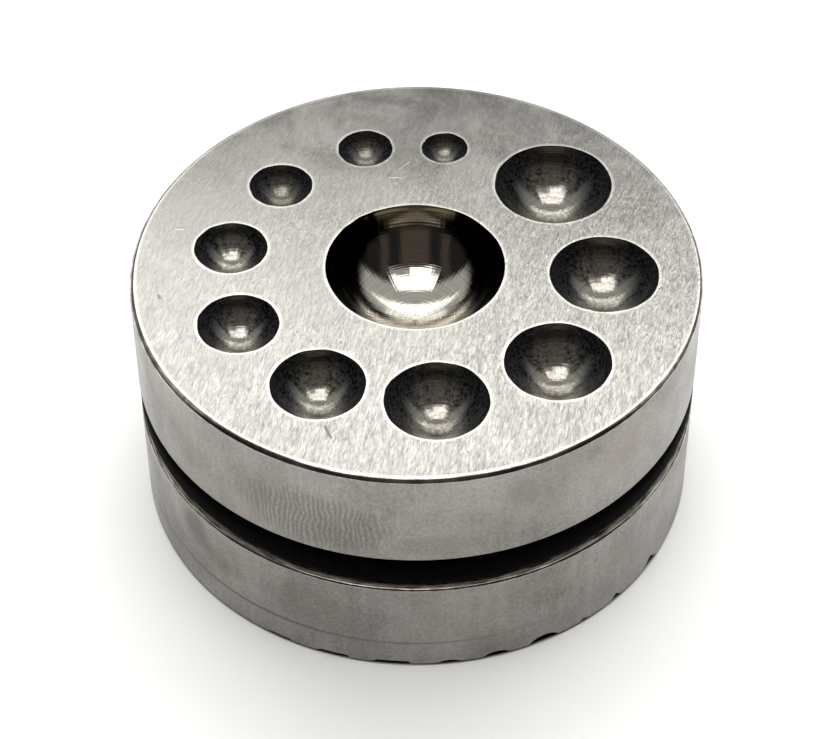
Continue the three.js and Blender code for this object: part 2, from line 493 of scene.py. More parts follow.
@dataclass(frozen=True)
class BallCutSteel(Surface):
    """Hardened tool steel cut with a ball tool: fine rings, spokes that run up, and dull flecks.

    The coordinates come from the attribute cavity_place: X and Y from the cavity's axis, and the
    length of the arc up from its lowest point as Z. The attribute rim_share is 0 at the lowest
    point and 1 at the rim. The punches polish a strip from front to back, where the flecks are worn
    off. Painted shade darkens the rim, the lowest point and the flanks left and right of the strip.
    """

    pale: str  # at the bottom
    dark: str  # at the rim: painted shade
    dark_from: float  # where it starts, as a share of the way up to the rim
    roughness: float  # middle value
    ring_spacing: float  # mm between the tool's rings
    ring_depth: float  # mm
    spoke_count: float  # how many run up from the lowest point, roughly
    spoke_depth: float  # mm
    fleck_width: float  # mm
    fleck_bump: float  # mm
    fleck_share: float  # how much flecks and rings change the colour
    ring_share: float  # the rings' part in that
    film: float  # share of a dull oil film that scatters light
    foot_shade: float  # how much painted shade darkens the lowest part
    flank_shade: str  # colour of the painted shade on the flanks
    flank_shade_reach: Pair  # where it starts and is full, in shares of the ball's radius
    ring_noise: Pair = (2.0, 0.5)  # detail and roughness
    spoke_noise: Pair = (3.0, 0.5)
    fleck_noise: Pair = (4.0, 0.7)
    dark_full: float = 0.95
    rim_slope: float = np.radians(80.7)  # of a ball's wall at the rim
    strip: Numbers = (0.1, 0.34, 0.5, 0.0)  # its half width, and how worn it is
    worn_fleck: float = 0.53  # the fleck noise of polished steel
    fleck_range: Pair = (0.35, 0.65)
    film_range: Pair = (0.41, 0.59)
    foot: Pair = (0.1, 0.22)  # of the rim share
    rough_range: Pair = (0.3, 0.7)
    rough_shares: Pair = (1.3, 0.75)  # of the middle roughness

    def look(self, node: Adder, place: Socket) -> Look:
        """Adds the rings, the spokes, the flecks, and the painted shade of rim, foot and flanks.

        How far to a side a wall faces is its bearing's X times the sine of its slope.

        Args:
            node: Adds a node to the material.
            place: Object coordinates.

        Returns:
            What the shader gets.
        """
        attribute = partial(node, "Attribute", (), attribute_type="GEOMETRY")
        rise = attribute("Fac", attribute_name="rim_share")
        local = attribute("Vector", attribute_name="cavity_place")
        x, y, arc = node("SeparateXYZ", (local,)).node.outputs
        facing = node("VectorMath NORMALIZE", (node("CombineXYZ", (x, y)),))
        layers = []
        for source, scale, (detail, roughness) in (
            (node("CombineXYZ", (arc,)), 1 / (self.ring_spacing * MM), self.ring_noise),
            (facing, self.spoke_count / (2 * np.pi), self.spoke_noise),
            (place, 1 / (self.fleck_width * MM), self.fleck_noise),
        ):
            noise = {"Vector": source, "Scale": scale, "Detail": detail, "Roughness": roughness}
            layers.append(node("TexNoise", noise, "Fac"))
        rings, spokes, flecks = layers
        slope = node("Math MULTIPLY", (rise, self.rim_slope))
        slope = node("Math SINE", (slope,))
        sideways = node("Math MULTIPLY", (node("SeparateXYZ", (facing,)), slope))
        sideways = node("Math ABSOLUTE", (sideways,))
        worn = node("MapRange", (sideways, *self.strip), **SMOOTH)
        flecks = node("Mix", (worn, None, flecks, self.worn_fleck))
        mottle = node("Mix", (self.ring_share, None, flecks, rings))
        # Painted shade, darker towards the rim and at the lowest point.
        shade = node("MapRange", (rise, self.dark_from, self.dark_full), **SMOOTH)
        flecked = node("MapRange", (mottle, *self.fleck_range, self.fleck_share, 0.0))
        shade = node("Math ADD", (shade, flecked))
        foot = node("MapRange", (rise, *self.foot, self.foot_shade, 0.0), **SMOOTH)
        shade = node("Math ADD", (shade, foot), use_clamp=True)
        # Painted shade on the flanks left and right of the strip.
        flank_shade = node("MapRange", (sideways, *self.flank_shade_reach), **SMOOTH)
        clean = node("MapRange", (flecks, *self.film_range, 1.0 - 2.0 * self.film, 1.0))
        ends = (share * self.roughness for share in self.rough_shares)
        rough = node("MapRange", (flecks, *self.rough_range, *ends))
        over = ((shade, self.dark), (flank_shade, self.flank_shade))
        bumps = ((rings, self.ring_depth), (spokes, self.spoke_depth), (flecks, self.fleck_bump))
        return Look(self.pale, over, bumps, {"Metallic": clean, "Roughness": rough})


@dataclass(frozen=True)
class MattPaper(Surface):
    """Uncoated white paper: wholly matt, with a painted shadow where the block stands."""

    name: str = "matt_white_paper"
    pale: str = "#e9e9e7"
    # painted shadow under the block, which keeps the channel mouths dark
    painted_shadow: str = "#0c0c0d"
    edge: Pair = (0.984, 1.003)  # of the painted shadow, in shares of the block's radius
    shader: ClassVar[str] = "BsdfDiffuse"

    def look(self, node: Adder, place: Socket) -> Look:
        """Adds the painted shadow under the block.

        Args:
            node: Adds a node to the material.
            place: Object coordinates.

        Returns:
            What the shader gets.
        """
        away = node("VectorMath LENGTH", (place,), "Value")
        ends = (share * BLOCK_RADIUS * MM for share in self.edge)
        return Look(self.painted_shadow, ((node("MapRange", (away, *ends), **SMOOTH), self.pale),))


class Finish(Enum):
    """Where each finish of the steel skin lies, in the order of its material slots."""

    TOP = 0
    SIDE = 1
    EDGE = 2
    GROOVE = 3
    BASE = 4
    BALL = 5
    SMALL_BALL = 6
    MIRROR = 7


STEEL_FINISHES: dict[Finish, Surface] = {
    Finish.TOP: GroundFace(),
    Finish.SIDE: GroundSide(),
    # Stoned edges: the smoothest steel on the block, dark or bright with what each part faces.
    Finish.EDGE: EvenSurface(
        "hardened_steel_stoned_edge", "#c8c5c0", "#8d8881", roughness=(0.24, 0.08),
        grain=(1.6, 1.6, 0.5), bump=0.01, turned=True,
    ),
    # Groove walls as the parting tool left them: dull, in broken rings.
    Finish.GROOVE: EvenSurface(
        "hardened_steel_turned_groove", "#dbd2c0", "#4a463e", roughness=(0.58, 0.42),
        grain=(2.6, 2.6, 0.2), bump=0.02, turned=True, film=0.75,
    ),
    # Base ground flat, with its channels planed along their length. Its colours are darker than the
    # other steel's: painted shade, which keeps the channels dark inside.
    Finish.BASE: EvenSurface(
        "hardened_steel_planed_base", "#7f7c78", "#5e5b57", roughness=(0.44, 0.28),
        grain=(0.3, 8.0, 2.0), bump=0.03, lean=15.0,
    ),
    # The graded cavities: dark, oiled and scuffed by punches, so their highlights are broken up.
    # Painted shade darkens their rims, lowest parts and flanks.
    Finish.BALL: BallCutSteel(
        "hardened_steel_ball_cut", "#b8b4aa", "#524e48", dark_from=0.58, roughness=0.12,
        ring_spacing=0.3, ring_depth=0.014, spoke_count=46, spoke_depth=0.024, fleck_width=0.36,
        fleck_bump=0.009, fleck_share=0.75, ring_share=0.4, film=0.15, foot_shade=0.28,
        flank_shade="#4d4d4f", flank_shade_reach=(0.23, 0.66),
    ),
    # The smallest ones, which punches seldom polish: duller, with only a soft highlight. Painted
    # shade darkens their rims, lowest parts and flanks.
    Finish.SMALL_BALL: BallCutSteel(
        "hardened_steel_small_ball_cut", "#8a867d", "#4a4741", dark_from=0.58, roughness=0.22,
        ring_spacing=0.25, ring_depth=0.016, spoke_count=30, spoke_depth=0.026, fleck_width=0.28,
        fleck_bump=0.008, fleck_share=0.8, ring_share=0.4, film=0.19, foot_shade=0.2,
        flank_shade="#47474a", flank_shade_reach=(0.23, 0.62),
    ),
    # The centre cavity: polished to a mirror, with only the finest rings left. Painted shade
    # darkens its rim and flanks.
    Finish.MIRROR: BallCutSteel(
        "hardened_steel_polished_cavity", "#cfcbc1", "#534c3f", dark_from=0.73, roughness=0.07,
        ring_spacing=0.25, ring_depth=0.012, spoke_count=130, spoke_depth=0.013, fleck_width=0.9,
        fleck_bump=0.0004, fleck_share=0.3, ring_share=0.8, film=0.0, foot_shade=0.0,
        flank_shade="#161413", flank_shade_reach=(0.52, 0.72),
    ),
}
# Black nitrile rubber, moulded: near black and dusty, with a soft sheen at grazing angles.
RUBBER = EvenSurface(
    "black_nitrile_rubber_moulded", "#070708", "#020202", roughness=(0.52, 0.7),
    grain=(1.6, 1.6, 1.6), bump=0.01, film=1.0, noise=(5.0, 0.6), contrast=(0.45, 0.7),
    inputs=(("IOR", 1.52), ("Specular IOR Level", 0.01)),
)


# Meshes


@dataclass
class Skin:
    """Gathers the faces of one closed piece and makes its object.

    A corner's place is its place in its cavity, as three lengths in mm, and its rim share: 1 at a
    rim, and 0 at a cavity's lowest point and on the open face.
    """

    name: str
    points: list[Array] = field(default_factory=list)  # mm
    faces: list[Array] = field(default_factory=list)  # point numbers, with 3 or 4 columns
    worn: list[Array] = field(default_factory=list)  # the number of each face's finish
    places: list[Array] = field(default_factory=list)  # of each corner

    def add_faces(
        self, points: Array, faces: Array, worn: Array | int, places: Array | None = None
    ) -> None:
        """Adds points and the faces that join them.

        Args:
            points: Points, one row each, in mm.
            faces: Numbers of rows of points.
            worn: The number of the finish of all faces or of each.
            places: Each point's place in its cavity and rim share, or None away from the cavities.
        """
        before = sum(len(array) for array in self.points)
        known = np.zeros((len(points), 4)) if places is None else places
        self.points.append(points)
        self.faces.append(faces + before)
        self.worn.append(np.broadcast_to(worn, len(faces)))
        self.places.append(known[faces].reshape(-1, 4))

    def add_grid(
        self,
        grid: Array,
        worn: Array | int,
        closed: bool = True,
        places: Array | None = None,
    ) -> None:
        """Adds a grid of quads.

        Face (i, j) joins the points (i, j), (i, j + 1), (i + 1, j + 1) and (i + 1, j).

        Args:
            grid: Points by row and column, in mm.
            worn: The number of the finish of all faces, or one for each row of faces.
            closed: Whether the last column joins the first.
            places: Each point's place in its cavity and rim share, shaped as the grid.
        """
        rows, columns = grid.shape[:2]
        numbers = np.arange(rows * columns).reshape(rows, columns)
        if closed:
            numbers = np.concatenate([numbers, numbers[:, :1]], axis=1)
        corners = [numbers[:-1, :-1], numbers[:-1, 1:], numbers[1:, 1:], numbers[1:, :-1]]
        faces = np.stack(corners, axis=-1).reshape(-1, 4)
        by_row = np.broadcast_to(np.reshape(worn, (-1, 1)), corners[0].shape).reshape(-1)
        flat = None if places is None else places.reshape(-1, 4)
        self.add_faces(grid.reshape(-1, 3), faces, by_row, flat)

    def piece(self, materials: Sequence[bpy.types.Material]) -> bpy.types.Object:
        """Welds the faces into one closed mesh, smooth but for its sharp edges, in metres.

        Args:
            materials: The materials, in the order of the finishes' numbers.

        Returns:
            The object, at the origin.
        """
        mesh = bpy.data.meshes.new(self.name)
        points = np.concatenate(self.points) * MM
        sizes = np.concatenate([np.full(len(array), array.shape[1]) for array in self.faces])
        loops = np.concatenate([array.reshape(-1) for array in self.faces])
        starts = np.concatenate([[0], np.cumsum(sizes)[:-1]])
        mesh.vertices.add(len(points))
        mesh.vertices.foreach_set("co", points.astype(np.float32).reshape(-1))
        mesh.loops.add(len(loops))
        mesh.loops.foreach_set("vertex_index", loops.astype(np.int32))
        mesh.polygons.add(len(sizes))
        mesh.polygons.foreach_set("loop_start", starts.astype(np.int32))
        mesh.polygons.foreach_set("material_index", np.concatenate(self.worn).astype(np.int32))
        mesh.update(calc_edges=True)
        places = np.concatenate(self.places).astype(np.float32)
        place = mesh.attributes.new("cavity_place", "FLOAT_VECTOR", "CORNER")
        place.data.foreach_set("vector", (places[:, :3] * MM).reshape(-1))
        rise = mesh.attributes.new("rim_share", "FLOAT", "CORNER")
        rise.data.foreach_set("value", places[:, 3].copy())
        for material in materials:
            mesh.materials.append(material)
        shell = bmesh.new()
        shell.from_mesh(mesh)
        bmesh.ops.remove_doubles(shell, verts=shell.verts, dist=WELD_DISTANCE)
        bmesh.ops.recalc_face_normals(shell, faces=shell.faces)
        loose = sum(len(edge.link_faces) != 2 for edge in shell.edges)
        shell.to_mesh(mesh)
        shell.free()
        mesh.polygons.foreach_set("use_smooth", np.ones(len(mesh.polygons), bool))
        mesh.set_sharp_from_angle(angle=SHARP_ANGLE)
        mesh.update()
        log.info("%s: %d faces, %d open edges", self.name, len(mesh.polygons), loose)
        made = bpy.data.objects.new(self.name, mesh)
        bpy.context.scene.collection.objects.link(made)
        return made


@dataclass(frozen=True)
class BrokenEdge:
    """A broken edge between a flat face and a side at right angles to it.

    Its outline is a superellipse: the share of the width and the share of the height, each raised
    to the power, add up to 1. A power of 1 is a chamfer and a power of 2 a round.
    """

    size: float  # mm that the edge reaches along each face
    power: float
    steps: int  # faces across it

    def inset(self, rise: Array) -> Array:
        """How far in from the side the outline lies, in mm, at heights above the flat face."""
        share = np.clip((self.size - rise) / self.size, 0, 1)
        return self.size * (1 - (1 - share**self.power) ** (1 / self.power))

    def outline(self) -> tuple[Array, Array]:
        """The outline, from the side to the flat face.

        With an angle from 0 to a quarter turn, the inset is the size times 1 less the cosine to the
        power 2 over the edge's power, and the depth the same with the sine.

        Returns:
            The inset from the side and the depth below the flat face, in mm, a row for each point.
        """
        angle = np.linspace(0, np.pi / 2, self.steps + 1)[:, None]
        inset = self.size * (1 - np.cos(angle) ** (2 / self.power))
        depth = self.size * (1 - np.sin(angle) ** (2 / self.power))
        return inset, depth


class Section(Enum):
    """The three families of swage channel."""

    FLAT = "flat"
    ROUND = "round"
    VEE = "vee"


@dataclass(frozen=True)
class Channel:
    """One swage channel across the base."""

    section: Section
    offset_share: float  # of the block's radius, from the middle
    width: float  # mm, at the base
    depth: float  # mm
    flank_share: float = 0.5  # of a flat channel's depth, which each flank runs inwards
    arc_steps: int = 14

    def outline(self) -> tuple[Array, Array]:
        """The channel's outline from its left edge to its right one.

        A flat channel is a trapezium, a vee a triangle, and a round one the arc of a circle through
        both edges and the bottom.

        Returns:
            Places across the base and heights above it, in mm.
        """
        half = self.width / 2
        if self.section is Section.FLAT:
            run = self.depth * self.flank_share
            across = np.array([-half, -half + run, half - run, half])
            height = np.array([0, self.depth, self.depth, 0])
        elif self.section is Section.VEE:
            across, height = np.array([-half, 0, half]), np.array([0, self.depth, 0])
        else:
            radius = (half**2 + self.depth**2) / (2 * self.depth)
            reach = np.arcsin(half / radius)
            angle = np.linspace(-reach, reach, self.arc_steps + 1)
            across, height = radius * np.sin(angle), self.depth - radius * (1 - np.cos(angle))
        return self.offset_share * BLOCK_RADIUS + across, height


@dataclass(frozen=True)
class Cavity:
    """One ball cavity in the top face."""

    diameter: float  # mm, at the top face
    angle: float  # degrees from +X
    pitch_share: float  # of the pitch circle's radius
    nicks: tuple[Numbers, ...] = ()  # in its rim: place and width in degrees, and reach in mm
    straightening: float = 0.42  # of its wall, as a worn tool cuts it


@dataclass
class SteelBlock:
    """The turned and ground block with its cavities and channels."""

    radius: float = BLOCK_RADIUS
    height: float = 30.5
    groove_bottom: float = 13.0
    groove_top: float = 17.8
    groove_depth: float = 5.0
    rim_edge: BrokenEdge = BrokenEdge(0.4, power=1.3, steps=7)
    top_edge_sway: float = 0.22  # share by which the hand-broken top edge is wider on one side
    top_edge_angle: float = 215.0  # degrees, where it is widest
    groove_edge: BrokenEdge = BrokenEdge(0.22, power=1.3, steps=5)
    support: float = 0.06  # mm from an edge to the row of points that keeps its neighbour flat
    side_margin: Pair = (0.5, 1.0)  # mm from the channels and the groove to the even rows
    side_rows: int = 4
    column_step: float = 0.9  # degrees
    base_steps: int = 16

    cavity_depth_share: float = 0.85
    small_cavity: float = 7.5  # mm; those below it have the duller finish
    wide_cavity: float = 9.5  # mm; those above it have more faces
    centre_grid: tuple[int, int] = (192, 64)  # points round a cavity and rows down it
    wide_grid: tuple[int, int] = (128, 32)
    narrow_grid: tuple[int, int] = (96, 26)
    pitch_radius: float = 20.85
    centre_cavity: Cavity = Cavity(
        19.9, 102, 0.0226, nicks=((128, 5, 0.12), (142, 4, 0.08), (118, 3, 0.06)), straightening=0.0
    )
    ring_cavities: tuple[Cavity, ...] = (
        Cavity(5.2, 80.5, 0.988),
        Cavity(6.2, 106, 1.012),
        Cavity(7.1, 138, 0.996),
        Cavity(8.1, 170.5, 1.006, straightening=0.48),
        Cavity(8.9, 204, 1.016, straightening=0.54),
        Cavity(10.2, 239.5, 0.991, straightening=0.56),
        Cavity(11.2, 276, 0.979, nicks=((161, 7, 0.11), (149, 4, 0.06)), straightening=0.6),
        Cavity(11.5, 316, 1.008, straightening=0.6),
        Cavity(12.0, 357, 1.0, straightening=0.32),
        Cavity(13.3, 41.5, 1.01),
    )
    rim_round: float = 0.07  # mm
    round_steps: int = 8
    rim_highlight: float = 0.4  # mm, width of the painted highlight beside each rim
    border_shares: Numbers = (0.0, 0.7, 1.0)
    rim_wobble: float = 0.025
    rim_waves: tuple[int, int] = (2, 14)
    rim_hold: int = 6  # power of the rim share, which keeps wobble and nicks to the rim
    pip_radius: float = 0.35
    pip_rows: int = 5
    pip_depth: float = 0.05  # in the centre cavity; the others have almost none
    pip_fade: int = 4  # power of the diameter, over the centre cavity's, that the depth goes by
    pip_flare: float = 1.6  # steepness of the pip's side, and how far above it the rows close up
    wobble_seed: int = 7
    ring_tolerance: float = 0.001  # mm, to tell the points of a cavity's ring
    face_tolerance: float = 1e-6  # mm: in the top face, points closer than this are one

    channel_turn: float = 15.0
    channels: tuple[Channel, ...] = (
        Channel(Section.FLAT, -0.69, 2.4, 0.6),
        Channel(Section.FLAT, -0.53, 3.3, 0.7),
        Channel(Section.FLAT, -0.343, 4.0, 0.75),
        Channel(Section.ROUND, -0.151, 3.5, 0.75),
        Channel(Section.ROUND, 0.017, 3.9, 0.95),
        Channel(Section.ROUND, 0.195, 4.2, 1.25),
        Channel(Section.VEE, 0.356, 2.0, 0.8),
        Channel(Section.VEE, 0.498, 2.3, 1.2),
        Channel(Section.VEE, 0.665, 3.1, 1.7),
    )

    @property
    def border_rows(self) -> Array:
        """Distances from a rim's edge to the rows of its border, from the open face in, in mm."""
        return np.array([self.rim_highlight, self.rim_highlight / 2, self.support])

    def base_lines(self) -> tuple[Array, Array]:
        """Lines along the channels: where each lies across the base, and the base's height there.

        The lines are the channels' own corners, with evenly turned ones between them. The height is
        read off the channels' outlines, and is 0 on the lands.

        Returns:
            Places across the base from left to right, and heights, in mm.
        """
        across, height = np.concatenate([channel.outline() for channel in self.channels], axis=1)
        turns = np.radians(np.arange(-90, 90 + self.column_step / 2, self.column_step))
        even = (self.radius - self.rim_edge.size) * np.sin(turns)
        clear = np.abs(even[:, None] - across).min(axis=1) > self.support
        lines = np.sort(np.concatenate([across, even[clear]]))
        return lines, np.interp(lines, across, height)

    def turned_rows(self, rise: Array, angle: Array) -> tuple[Array, Array, Array]:
        """The turned outline, row by row from the base up to the top face.

        The lowest rows follow the channels' ends: each starts at the base's own height there and
        climbs to the top of the broken edge, or stays where the channel is deeper than that. An
        edge wears its finish between its own rows, and the rest as far as the next edge.

        Args:
            rise: The base's height at each column, in mm.
            angle: Each column's angle from +X, in radians.

        Returns:
            Radii and heights by row and column in mm, and the finish's number between each row and
            the next.
        """
        side, bottom, ceiling = self.radius, self.groove_bottom, self.groove_top
        floor, rim = side - self.groove_depth, self.rim_edge.size
        lip = self.groove_edge.size + self.support
        top = np.maximum(rise, rim)
        climb = 1 - np.cos(np.linspace(0, np.pi / 2, self.rim_edge.steps + 1))[:, None]
        level = rise + (top - rise) * climb
        inset, depth = self.groove_edge.outline()
        sway = 1 + self.top_edge_sway * np.cos(angle - np.radians(self.top_edge_angle))
        rim_inset, rim_depth = (sway * share for share in self.rim_edge.outline())
        above, below = self.side_margin
        deepest = max(channel.depth for channel in self.channels)
        even = np.linspace(deepest + above, bottom - below, self.side_rows)
        lower = [top + self.support, *even, bottom - lip]
        last = self.height - rim * sway - self.support
        upper = [ceiling + lip, (ceiling + self.height) / 2, last]
        rim_highlight = self.border_rows[::-1, None]
        runs = (
            (Finish.EDGE, side - self.rim_edge.inset(level), level),
            (Finish.SIDE, [side] * len(lower), lower),
            (Finish.EDGE, side - inset, bottom - depth),
            (Finish.GROOVE, [side - lip, floor, floor, side - lip], [bottom] * 2 + [ceiling] * 2),
            (Finish.EDGE, side - inset[::-1], ceiling + depth[::-1]),
            (Finish.SIDE, [side] * len(upper), upper),
            (Finish.EDGE, side - rim_inset, self.height - rim_depth),
            (Finish.TOP, side - rim * sway - rim_highlight, [self.height] * len(rim_highlight)),
        )
        radii, heights = (
            np.stack([np.broadcast_to(row, angle.shape) for run in runs for row in run[column]])
            for column in (1, 2)
        )
        counts = [len(run[1]) + (-1 if run[0] is Finish.EDGE else 1) for run in runs]
        bands = np.repeat([run[0].value for run in runs], counts)
        return radii, heights, bands[: len(radii) - 1]

    def cavity_grid(self, cavity: Cavity, rng: np.random.Generator) -> tuple[Array, Array]:
        """The surface of one cavity, from the flat face round it down to its lowest point.

        The cap is a sphere through the rim and the lowest point. Its rim is rounded by a circle
        that touches both the face and the sphere. The wall is a little straighter: each point is
        lifted by the straightening times the rim's radius times its radial share cubed times one
        less that share. The rim wanders by a sum of sines and is pushed out at its nicks, and the
        lowest point keeps the tool's small pip.

        Args:
            cavity: The cavity.
            rng: The source of the rim's wandering.

        Returns:
            The points by row and column, and their places in the cavity and rim shares. The first
            rows are the border on the flat face.
        """
        columns, rows = self.wide_grid if cavity.diameter > self.wide_cavity else self.narrow_grid
        if cavity is self.centre_cavity:
            columns, rows = self.centre_grid
        rounding = self.rim_round
        rim = cavity.diameter / 2
        deep = rim * self.cavity_depth_share
        ball = (rim**2 + deep**2) / (2 * deep)
        lift = ball - deep
        round_centre = np.sqrt((ball + rounding) ** 2 - (lift + rounding) ** 2)
        touch = np.arctan2(round_centre, lift + rounding)
        over = np.linspace(0, touch, self.round_steps + 1)
        pip = np.linspace(self.pip_radius / ball, 0, self.pip_rows + 1)
        down = np.concatenate([np.linspace(touch, self.pip_flare * pip[0], rows)[1:], pip])
        flat = self.border_rows
        radial = np.concatenate(
            [round_centre + flat, round_centre - rounding * np.sin(over), ball * np.sin(down)]
        )
        level = np.concatenate(
            [flat * 0, rounding * (np.cos(over) - 1), lift - ball * np.cos(down)]
        )
        wall = ball * touch
        arc = np.concatenate(
            [wall + rounding * touch + flat, wall + rounding * (touch - over), ball * down]
        )
        outward = np.clip(radial / (ball * np.sin(touch)), 0, 1)
        level += cavity.straightening * rim * outward**3 * (1 - outward)
        near = np.minimum(1, self.pip_flare * np.clip(1 - arc / self.pip_radius, 0, 1))
        size = cavity.diameter / self.centre_cavity.diameter
        level -= self.pip_depth * size**self.pip_fade * near
        turn = np.linspace(0, 2 * np.pi, columns, endpoint=False)
        waves = np.arange(*self.rim_waves)[:, None]
        phases = rng.uniform(0, 2 * np.pi, len(waves))[:, None]
        push = self.rim_wobble * (np.sin(waves * turn + phases) / np.sqrt(waves)).sum(axis=0)
        for angle, width, reach in cavity.nicks:
            apart = (np.degrees(turn) - angle + 180) % 360 - 180
            push += reach * np.exp(-((apart / width) ** 2))
        shares = np.clip(arc / wall, 0, 1)
        shares[: len(flat)] = self.border_shares
        spread = radial[:, None] + push * shares[:, None] ** self.rim_hold
        local = np.stack([spread * np.cos(turn), spread * np.sin(turn)], axis=-1)
        azimuth, out = np.radians(cavity.angle), self.pitch_radius * cavity.pitch_share
        centre = out * np.array([np.cos(azimuth), np.sin(azimuth)])
        heights, arcs, by_row = (
            np.broadcast_to(values[:, None, None], (*spread.shape, 1))
            for values in (self.height + level, arc, shares)
        )
        points = np.concatenate([local + centre, heights], axis=-1)
        return points, np.concatenate([local, arcs, by_row], axis=-1)

    def build(self) -> bpy.types.Object:
        """Builds the whole skin: the turned outline, the base, the cavities and the top face.

        Returns:
            The steel block's object.
        """
        skin = Skin("steel_block_skin")
        lines, rise = self.base_lines()
        edge_radius = self.radius - self.rim_edge.inset(rise)
        turned = np.radians(self.channel_turn)
        across = np.array([np.cos(turned), np.sin(turned), 0.0])
        along = np.array([np.sin(turned), -np.cos(turned), 0.0])
        sine = np.clip(lines / edge_radius, -1, 1)
        cosine = np.sqrt(1 - sine**2)
        front = sine[:, None] * across + cosine[:, None] * along
        back = sine[:, None] * across - cosine[:, None] * along
        outward = np.concatenate([front, back[-2:0:-1]])
        rise_round = np.concatenate([rise, rise[-2:0:-1]])
        angle = np.arctan2(outward[:, 1], outward[:, 0])
        radii, heights, bands = self.turned_rows(rise_round, angle)
        lathe = radii[..., None] * outward
        lathe[..., 2] = heights
        places = np.zeros((*lathe.shape[:2], 4))
        shares = np.array(self.border_shares)[::-1, None]
        places[-len(shares) :, :, 3] = shares
        places[-len(shares) - 1, :, 3] = shares[0]
        skin.add_grid(lathe, bands, places=places)

        spread = np.linspace(-1, 1, self.base_steps + 1)
        reach = edge_radius * cosine
        base = lines[:, None, None] * across + (spread[:, None] * reach[:, None, None]) * along
        base[..., 2] = rise[:, None]
        skin.add_grid(base, Finish.BASE.value, closed=False)

        rng = np.random.default_rng(self.wobble_seed)
        rings, holes = [lathe[-1, :, :2]], []
        for cavity in (self.centre_cavity, *self.ring_cavities):
            grid, places = self.cavity_grid(cavity, rng)
            inside = Finish.SMALL_BALL if cavity.diameter < self.small_cavity else Finish.BALL
            if cavity is self.centre_cavity:
                inside = Finish.MIRROR
            worn = np.full(len(grid) - 1, inside.value)
            worn[: len(self.border_rows)] = Finish.TOP.value
            skin.add_grid(grid, worn, places=places)
            rings.append(grid[0, :, :2])
            holes.append((rings[-1].mean(axis=0), np.linalg.norm(places[0, :, :2], axis=1).mean()))
        skin.add_faces(*self.pierced_face(rings, holes), Finish.TOP.value)
        return skin.piece([STEEL_FINISHES[finish].material() for finish in Finish])

    def pierced_face(
        self, rings: list[Array], holes: list[tuple[Array, float]]
    ) -> tuple[Array, Array]:
        """The flat face between its outer ring and the cavities' rings, as triangles.

        A triangle whose corners all lie on one cavity's ring is inside that cavity, so it is left
        out.

        Args:
            rings: The outer ring and each cavity's ring, as points in the plane in mm.
            holes: Each cavity's centre and the radius of its ring.

        Returns:
            The face's points and its triangles.
        """
        starts = np.cumsum([0] + [len(ring) for ring in rings])
        numbers = [np.arange(len(ring)) + start for ring, start in zip(rings, starts)]
        edges = np.concatenate([np.stack([ring, np.roll(ring, -1)], axis=1) for ring in numbers])
        flat = np.concatenate(rings).tolist()
        made = delaunay_2d_cdt(flat, edges.tolist(), [], INSIDE_ONLY, self.face_tolerance)
        points, triangles = np.array(made[0]), np.array(made[2])
        inside = np.zeros(len(triangles), bool)
        for centre, radius in holes:
            on_ring = np.abs(np.linalg.norm(points - centre, axis=1) - radius) < self.ring_tolerance
            inside |= on_ring[triangles].all(axis=1)
        return np.column_stack([points, np.full(len(points), self.height)]), triangles[~inside]

    def dress(self, piece: bpy.types.Object) -> None:
        """Lets the piece ride on the part and stand for its CAD node.

        Args:
            piece: The built object.
        """
        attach(piece, "root")
        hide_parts("steel_block")


@dataclass
class RubberRing:
    """The rubber ring in the block's groove: a round cord squeezed between the groove's walls."""

    block: SteelBlock
    floor_gap: float = 0.3
    side_gap: float = 0.1
    corner_share: float = 0.8
    columns: int = 360
    corner_steps: int = 12
    seat_wander: float = 0.04
    seat_waves: tuple[Pair, ...] = ((3, 0.7), (5, 2.1))  # waves round it, and their phase

    def build(self) -> bpy.types.Object:
        """Builds the ring.

        Its section is a rectangle with rounded corners, carried round the axis. The outer face
        wanders in and out by a sum of two sines, as a stretched ring does.

        Returns:
            The ring's object.
        """
        inner = self.block.radius - self.block.groove_depth + self.floor_gap
        outer = self.block.radius - self.seat_wander
        bottom = self.block.groove_bottom + self.side_gap
        top = self.block.groove_top - self.side_gap
        corner = self.corner_share * (top - bottom) / 2
        right, left, low, high = outer - corner, inner + corner, bottom + corner, top - corner
        centres = np.array([[right, low], [right, high], [left, high], [left, low]])
        starts = np.radians([-90, 0, 90, 180])
        swing = starts[:, None] + np.linspace(0, np.pi / 2, self.corner_steps + 1)
        radial = (centres[:, :1] + corner * np.cos(swing)).reshape(-1, 1)
        level = (centres[:, 1:] + corner * np.sin(swing)).reshape(-1, 1)
        turn = np.linspace(0, 2 * np.pi, self.columns, endpoint=False)
        sines = sum(np.sin(count * turn + phase) for count, phase in self.seat_waves)
        share = np.clip((radial - inner) / (outer - inner), 0, 1)
        out = radial + self.seat_wander / len(self.seat_waves) * sines * share
        grid = np.stack([out * np.cos(turn), out * np.sin(turn), level + 0 * out], axis=-1)
        skin = Skin("rubber_ring_cord")
        skin.add_grid(np.concatenate([grid, grid[:1]]), 0)
        return skin.piece([RUBBER.material()])

    def dress(self, piece: bpy.types.Object) -> None:
        """Lets the piece ride on the part and stand for its CAD node.

        Args:
            piece: The built object.
        """
        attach(piece, "root")
        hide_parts("rubber_ring")


# Studio


